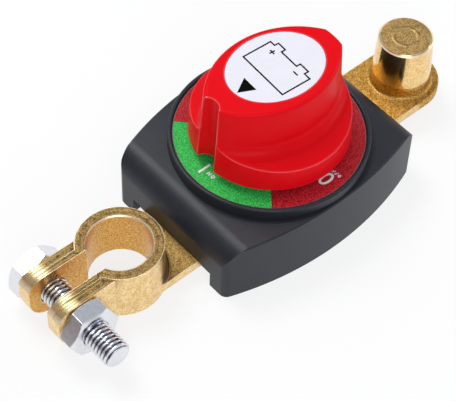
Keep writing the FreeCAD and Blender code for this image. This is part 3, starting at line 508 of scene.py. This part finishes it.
CLAMP_X = -0.0524
CLAMP_BORE = 0.0092
CLAMP_SLOT = 0.0043
CLAMP_SLOT_START = 0.0079
CLAMP_WALL = 0.0040
CLAMP_BAR_TOP = 0.0115
CLAMP_LUG_START = 0.0095
CLAMP_LUG_FALL = 0.0175
CLAMP_LUG_ROUNDING = 0.030
CLAMP_RIDGES = 2.5
CLAMP_WALL_COLOURS = (0.76, 0.49, 0.19), (1.0, 0.77, 0.41)
# The tops are darker partly for the sand's skin and partly as painted shade.
CLAMP_CRUST_AND_SHADE_COLOURS = (0.085, 0.052, 0.018), (0.37, 0.245, 0.09)
# Painted shade on the faces inside the bore and the slot.
CLAMP_INSIDE_SHADE_COLOURS = (0.46, 0.21, 0.035), (0.88, 0.52, 0.16)
# The bar's top is painted lighter than the other tops, as painted light against the housing's shadow.
CLAMP_BAR_CRUST_AND_LIGHT_COLOURS = (0.20, 0.115, 0.03), (0.56, 0.37, 0.13)
# Painted highlights on the ridges' crests and on the lug ends where the top falls away.
CLAMP_RIDGE_HIGHLIGHT = (0.56, 0.39, 0.16)
CLAMP_FALL_HIGHLIGHT = (0.98, 0.80, 0.46)

cast_finish = Brass("cast_brass", CLAMP_WALL_COLOURS, CLAMP_CRUST_AND_SHADE_COLOURS)
cast_place = cast_finish.place()
cast_along = cast_finish.axis(cast_place, "X") - CLAMP_X
cast_outward = cast_along * -1
cast_across = cast_finish.axis(cast_place, "Y").math("ABSOLUTE")
cast_radius = (cast_along * cast_along + cast_across * cast_across) ** 0.5
above_bar = cast_finish.axis(cast_place, "Z").rises(CLAMP_BAR_TOP, CLAMP_BAR_TOP + 0.0005)
lug = cast_outward.rises(CLAMP_LUG_START, CLAMP_LUG_START + 0.0020)
slot = cast_outward.rises(CLAMP_SLOT_START, CLAMP_SLOT_START + 0.0001)

# Painted shade: the faces inside the bore and the slot get darker, more orange colours.
inside = 1 - cast_radius.rises(CLAMP_BORE - 0.0002, CLAMP_BORE) * (1 - slot)
inside = inside - cast_across.rises(CLAMP_SLOT - 0.0002, CLAMP_SLOT) * slot
shaded = cast_finish.grain.rises(0.35, 0.65).tint(*CLAMP_INSIDE_SHADE_COLOURS)
cast_wall = cast_finish.mixed(inside, cast_finish.wall, shaded)

out_of_wall = lug * (cast_across - CLAMP_SLOT) + (1 - lug) * (cast_radius - CLAMP_BORE)
ridges = (out_of_wall * (2 * math.pi * CLAMP_RIDGES / CLAMP_WALL)).math("SINE") * 0.5 + 0.5
ridges = ridges * cast_finish.up * (0.35 + lug * 0.65) * above_bar
fall = (cast_outward - CLAMP_LUG_FALL).math("MAXIMUM", 0.0)
# The bar's top, below the other tops, is painted lighter to make up for the housing's shadow.
bar_crust_and_light = cast_finish.grain.rises(0.38, 0.62).tint(*CLAMP_BAR_CRUST_AND_LIGHT_COLOURS)
# Painted highlights on the ridges and on the falling lug ends, laid over the tops' colour.
cast_tops_and_painted_light = cast_finish.mixed(ridges * 0.4, cast_finish.crust_and_shade, CLAMP_RIDGE_HIGHLIGHT)
cast_tops_and_painted_light = cast_finish.mixed(fall.rises(0.0012, 0.0040) * 0.8, cast_tops_and_painted_light, CLAMP_FALL_HIGHLIGHT)
cast_tops_and_painted_light = cast_finish.mixed(above_bar, bar_crust_and_light, cast_tops_and_painted_light)

cast_finish.paint(cast_wall, cast_tops_and_painted_light)
cast_finish.set(roughness=0.22 + cast_finish.up * (0.18 - fall.rises(0.001, 0.004) * 0.14)
                + cast_finish.grain * 0.14 - cast_finish.crest * 0.08 + cast_finish.lip * 0.1)
cast_relief = cast_finish.grain * (0.35 + cast_finish.up * 0.65) + cast_finish.lumps * 0.3
cast_relief = cast_relief + ridges * 1.6
cast_relief = cast_relief - fall * fall / (2 * CLAMP_LUG_ROUNDING) / BRASS_RELIEF
cast_finish.relief(cast_relief, depth=BRASS_RELIEF, strength=0.9)
cast_finish.on("clamp_terminal")

# The clamp's bolt and nut, bright plated steel, which draw the two lugs together. The bolt is
# threaded up to its head, and both hexagons have chamfered faces.
PLATING_CLOUDS = 0.0012
PLATING_DULL = (0.70, 0.72, 0.77)
PLATING_BRIGHT = (0.86, 0.87, 0.90)
PLATING_EDGE = 0.0004
PLATING_ROUNDING = 0.00025
THREAD_SHADE = (0.16, 0.17, 0.19)

bolt_low, bolt_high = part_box("clamp_bolt")
BOLT_PLACE = (bolt_low + bolt_high) / 2
BOLT_TIP = bolt_low.y
BOLT_HEAD_HEIGHT = 0.0054
BOLT_HEAD_END = bolt_high.y
BOLT_SHANK_END = BOLT_HEAD_END - BOLT_HEAD_HEIGHT
BOLT_PITCH = 0.00125
BOLT_RADIUS = 0.00398
BOLT_ROOT = 0.00325
THREAD_CREST = 1.6
THREAD_FLANK = 4.2
BOLT_TIP_CHAMFER = 0.0007
BOLT_HEAD_FLATS = 0.014
BOLT_HEAD_TURN = math.radians(16.0)
BOLT_FACE_SHARE = 0.96
BOLT_CHAMFER_SLOPE = math.tan(math.radians(30))
BOLT_SIDES = 72
ROWS_PER_TURN = 8


class Plated(Finish):
    """Bright plated steel, a little cloudy, with edges that catch the light."""

    def __init__(self, name):
        super().__init__(name, metallic=1.0)
        cloud = self.noise(PLATING_CLOUDS, detail=3.0)
        self.colour = cloud.tint(PLATING_DULL, PLATING_BRIGHT)
        worn = self.edges(PLATING_EDGE).rises(0.01, 0.06)
        self.set(base_color=self.colour, roughness=0.09 + cloud * 0.08 + worn * 0.25,
                 normal=self.rounded(PLATING_ROUNDING))


Plated("bright_plate").on("clamp_nut", "clamp_bolt")

thread_finish = Plated("bright_thread")
thread_place = thread_finish.place()
thread_along = thread_finish.axis(thread_place, "X") - BOLT_PLACE.x
thread_height = thread_finish.axis(thread_place, "Z") - BOLT_PLACE.z
thread_radius = (thread_along * thread_along + thread_height * thread_height) ** 0.5
thread_run = thread_finish.axis(thread_place, "Y").between(BOLT_TIP + 0.0003, BOLT_SHANK_END, 0.0001)
thread_root = (1 - thread_radius.rises(BOLT_ROOT + 0.00005, BOLT_ROOT + 0.00050)) * thread_run
thread_finish.set(base_color=thread_finish.mixed(thread_root, thread_finish.colour, THREAD_SHADE))


def hexagon_reach(turn):
    """How far a hexagon's side lies from its axis in one direction."""
    off_side = (turn - BOLT_HEAD_TURN + math.pi / 6) % (math.pi / 3) - math.pi / 6
    return BOLT_HEAD_FLATS / 2 / math.cos(math.pi / 6 - abs(off_side))


def thread_reach(y, turn):
    """The radius of the threaded shank: a ridge of flat crests and round roots."""
    phase = ((y - BOLT_TIP) / BOLT_PITCH - turn / (2 * math.pi)) % 1.0
    ridge = min(1.0, max(0.0, THREAD_CREST - abs(phase - 0.5) * THREAD_FLANK))
    cone = BOLT_RADIUS - BOLT_TIP_CHAMFER + (y - BOLT_TIP)
    return min(BOLT_ROOT + (BOLT_RADIUS - BOLT_ROOT) * ridge, cone)


def build_bolt():
    """Rings of corners from the head's face to the tip, each as places along Y and radii."""
    turns = [BOLT_HEAD_TURN + 2 * math.pi * i / BOLT_SIDES for i in range(BOLT_SIDES)]
    face = BOLT_FACE_SHARE * BOLT_HEAD_FLATS / 2
    flats = [hexagon_reach(turn) for turn in turns]
    chamfers = [(flat - face) * BOLT_CHAMFER_SLOPE for flat in flats]
    rings = [
        [(BOLT_HEAD_END, face) for _ in turns],
        [(BOLT_HEAD_END - chamfer, flat) for chamfer, flat in zip(chamfers, flats)],
        [(BOLT_SHANK_END + chamfer, flat) for chamfer, flat in zip(chamfers, flats)],
        [(BOLT_SHANK_END, face) for _ in turns],
    ]
    length = BOLT_SHANK_END - BOLT_TIP
    count = int(length / BOLT_PITCH * ROWS_PER_TURN)
    for i in range(count + 1):
        y = BOLT_SHANK_END - length * i / count
        rings.append([(y, thread_reach(y, turn)) for turn in turns])
    corners = []
    for ring in rings:
        corners += [(BOLT_PLACE.x + reach * math.cos(turn), y, BOLT_PLACE.z + reach * math.sin(turn))
                    for (y, reach), turn in zip(ring, turns)]
    faces = []
    for start in range(0, len(corners) - BOLT_SIDES, BOLT_SIDES):
        for i in range(BOLT_SIDES):
            j = (i + 1) % BOLT_SIDES
            faces.append((start + i, start + j, start + BOLT_SIDES + j, start + BOLT_SIDES + i))
    faces.append(tuple(range(BOLT_SIDES)))
    faces.append(tuple(range(len(corners) - BOLT_SIDES, len(corners))))
    return sheet("threaded_bolt", corners, faces, thread_finish)


def smooth_except_edges(made, degrees):
    """Turns the faces outwards and shades them smooth, except across sharp edges."""
    work = bmesh.new()
    work.from_mesh(made.data)
    bmesh.ops.recalc_face_normals(work, faces=work.faces)
    work.to_mesh(made.data)
    work.free()
    for polygon in made.data.polygons:
        polygon.use_smooth = True
    made.data.set_sharp_from_angle(angle=math.radians(degrees))


bolt = build_bolt()
smooth_except_edges(bolt, degrees=24)
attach(bolt, "bolt")
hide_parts("clamp_bolt")

# The post for the cable's own clamp: cast brass, turned and polished on its taper, with the rough
# skin and a raised ring left on its top. It stands on a flat tongue with a round end. Its top is
# painted darker, partly for the skin and partly as painted shade, its top's outer lip and its edges
# carry painted highlights, and the tongue's orange is partly a painted reflection of the post.
POST_X = 0.0521
POST_RING = 0.0036
POST_SIDE_LOW = 0.0098
POST_TOP_LOW = 0.0246
POST_TOP_EDGE = 0.00752
POST_FOOT_RADIUS = 0.0115
POST_FOOT_TOP = 0.0120
POST_WALL_COLOURS = (0.76, 0.48, 0.18), (0.97, 0.71, 0.34)
# The post's top is darker partly for its rough skin and partly as painted shade.
POST_CRUST_AND_SHADE_COLOURS = (0.32, 0.20, 0.065), (0.62, 0.42, 0.17)
# The tongue's orange is partly its brass and partly a painted reflection of the post's side.
TONGUE_AND_REFLECTION_COLOURS = (0.32, 0.16, 0.025), (0.82, 0.50, 0.14)

post_finish = Brass("post_brass", POST_WALL_COLOURS, POST_CRUST_AND_SHADE_COLOURS)
post_place = post_finish.place()
post_height = post_finish.axis(post_place, "Z")
post_along = post_finish.axis(post_place, "X") - POST_X
post_across = post_finish.axis(post_place, "Y")
post_radius = (post_along * post_along + post_across * post_across) ** 0.5
above_foot = post_height.rises(POST_FOOT_TOP, POST_FOOT_TOP + 0.0005)
foot = (1 - post_radius.rises(POST_FOOT_RADIUS, POST_FOOT_RADIUS + 0.0005)) * (1 - above_foot)
# No painted highlights on the foot's edges and crests; the lip's painted highlight only on the outer
# part of the top's chamfer.
post_finish.edge = post_finish.edge * (1 - foot)
post_finish.crest = post_finish.crest * (1 - foot)
top_edge = post_radius.rises(POST_TOP_EDGE, POST_TOP_EDGE + 0.0001)
post_finish.lip = post_finish.lip * top_edge * (1 - foot)
tongue_and_reflection = post_finish.grain.rises(0.38, 0.62).tint(*TONGUE_AND_REFLECTION_COLOURS)
post_finish.paint(post_finish.mixed(foot, post_finish.wall, tongue_and_reflection),
                  post_finish.mixed(above_foot, tongue_and_reflection, post_finish.crust_and_shade))

turned = post_height.rises(POST_SIDE_LOW - 0.0004, POST_SIDE_LOW + 0.0004) * (1 - post_finish.up)
post_finish.set(roughness=0.28 + post_finish.up * 0.16 + post_finish.grain * 0.12 - turned * 0.20
                + post_finish.lip * 0.35 + foot * 0.15)
post_ring = post_radius.between(POST_RING - 0.0004, POST_RING + 0.0004, 0.0003)
post_ring = post_ring * post_height.rises(POST_TOP_LOW, POST_TOP_LOW + 0.0003)
post_skin = post_finish.grain * (1 - turned) * 0.8 + post_finish.lumps * (1 - turned * 0.8) * 0.3
post_finish.relief(post_skin + post_ring * 1.6, depth=BRASS_RELIEF, strength=0.9)
post_finish.on("post_terminal")

# The knob, moulded in signal red plastic with a satin gloss: a round skirt, two hand scoops that
# leave a lens shaped grip, and a groove that points at the dial. Its edges carry a painted highlight
# under a clear coat. A screw and washer below the label hold it.
KNOB_EDGE = 0.0008
KNOB_SKIN = 0.0004
KNOB_PATCHES = 0.008
KNOB_DEEP = (0.72, 0.002, 0.006)
KNOB_CLEAR = (0.79, 0.003, 0.009)
KNOB_EDGE_HIGHLIGHT = (0.92, 0.12, 0.14)

knob_finish = Finish("signal_red", specular_ior_level=0.07, coat_roughness=0.18)
knob_skin = knob_finish.noise(KNOB_SKIN)
knob_tone = knob_finish.noise(KNOB_PATCHES).tint(KNOB_DEEP, KNOB_CLEAR)
knob_edge = knob_finish.edges(KNOB_EDGE).rises(0.01, 0.10)
# Painted highlight: the knob's edges, found by the Bevel node, are painted paler red.
knob_finish.set(base_color=knob_finish.mixed(knob_edge * 0.6, knob_tone, KNOB_EDGE_HIGHLIGHT),
                roughness=0.28 + knob_skin * 0.14, coat_weight=knob_edge)
knob_finish.relief(knob_skin, depth=0.00002, strength=0.35)
knob_finish.on("knob")
screw_finish.on("knob_screw", "knob_washer")

# The knob's label, a pale film in the oval recess on its top, printed in black with a battery, its
# two polarity marks and a pointer.
LABEL_INK_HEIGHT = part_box("knob_label")[1].z + INK_THICKNESS
LABEL_PATCHES = 0.004
LABEL_DULL = (0.77, 0.76, 0.84)
LABEL_CLEAR = (0.83, 0.82, 0.89)
BLACK_INK_FULL = (0.001, 0.001, 0.001)
BLACK_INK_THIN = (0.004, 0.004, 0.004)
KNOB_REST = math.radians(-3.5)

label_finish = Finish("label_film", roughness=0.26, specular_ior_level=0.5)
label_finish.set(base_color=label_finish.noise(LABEL_PATCHES).tint(LABEL_DULL, LABEL_CLEAR))
label_finish.on("knob_label")

black_ink = Finish("black_ink", roughness=0.6, specular_ior_level=0.03)
black_ink.set(base_color=black_ink.noise(INK_GRAIN).tint(BLACK_INK_FULL, BLACK_INK_THIN))


def label_place(x, y):
    """The label's drawing is laid out with the knob's pointer along -X and turns with it."""
    spot = Matrix.Rotation(KNOB_REST, 3, "Z") @ Vector((x, y, 0))
    return (spot.x, spot.y, LABEL_INK_HEIGHT)


def label_mark(name, patches):
    print_ink(name, patches, label_place, black_ink, "knob_group")


BATTERY_LINE = 0.00046
BATTERY_CASE = [
    (-0.00365, -0.0082), (0.0055, -0.0082), (0.0055, -0.0060), (0.0068, -0.0060),
    (0.0068, -0.0027), (0.0055, -0.0027), (0.0055, 0.0036), (0.0068, 0.0036),
    (0.0068, 0.0065), (0.0055, 0.0065), (0.0055, 0.0082), (-0.00365, 0.0082)]
POLARITY_LINES = [
    [(0.0035, 0.0041), (0.0035, 0.0059)],
    [(0.0026, 0.0050), (0.0033, 0.0050)],
    [(0.0037, 0.0050), (0.0044, 0.0050)],
    [(0.0037, -0.0054), (0.0037, -0.0036)]]
POINTER_CORNERS = [(-0.0127, -0.0008), (-0.0080, -0.0029), (-0.0080, 0.0022)]

label_mark("battery_outline", stroke(BATTERY_CASE, BATTERY_LINE, closed=True))
label_mark("polarity_marks", [patch for line in POLARITY_LINES for patch in stroke(line, BATTERY_LINE)])
label_mark("pointer_mark", [POINTER_CORNERS])

# The works inside: a black nylon rotor on a slip washer carries a copper bridge, which a coil
# spring and its nylon seat press on the two bars. A rubber ring seals the shaft, and two steel
# balls on small springs index ON and OFF.
FINE_CLOUDS = 0.0006
NYLON_DARK = (0.016, 0.016, 0.018)
NYLON_PALE = (0.024, 0.024, 0.026)
RUBBER_DARK = (0.012, 0.012, 0.012)
RUBBER_PALE = (0.025, 0.025, 0.025)
COPPER_STAINS = 0.003
COPPER_BROWN = (0.62, 0.27, 0.15)
COPPER_BARE = (0.80, 0.40, 0.25)
SPRING_CLOUDS = 0.001
SPRING_DULL = (0.50, 0.50, 0.51)
SPRING_BRIGHT = (0.60, 0.60, 0.61)

nylon_finish = Finish("black_nylon", roughness=0.4)
nylon_cloud = nylon_finish.noise(FINE_CLOUDS)
nylon_finish.set(base_color=nylon_cloud.tint(NYLON_DARK, NYLON_PALE))
nylon_finish.relief(nylon_cloud, depth=0.00002, strength=0.5)
nylon_finish.on("rotor", "spring_seat", "thrust_washer")

rubber_finish = Finish("black_rubber", roughness=0.75)
rubber_finish.set(base_color=rubber_finish.noise(FINE_CLOUDS).tint(RUBBER_DARK, RUBBER_PALE))
rubber_finish.on("shaft_seal")

copper_finish = Finish("bare_copper", metallic=1.0, roughness=0.3)
copper_finish.set(base_color=copper_finish.noise(COPPER_STAINS).tint(COPPER_BROWN, COPPER_BARE))
copper_finish.on("contact_bridge")

spring_finish = Finish("bright_spring_steel", metallic=1.0)
spring_cloud = spring_finish.noise(SPRING_CLOUDS)
spring_finish.set(base_color=spring_cloud.tint(SPRING_DULL, SPRING_BRIGHT),
                  roughness=0.25 + spring_cloud * 0.15)
spring_finish.on("contact_spring", "detent_spring_1", "detent_spring_2")
spring_finish.on("detent_ball_1", "detent_ball_2")
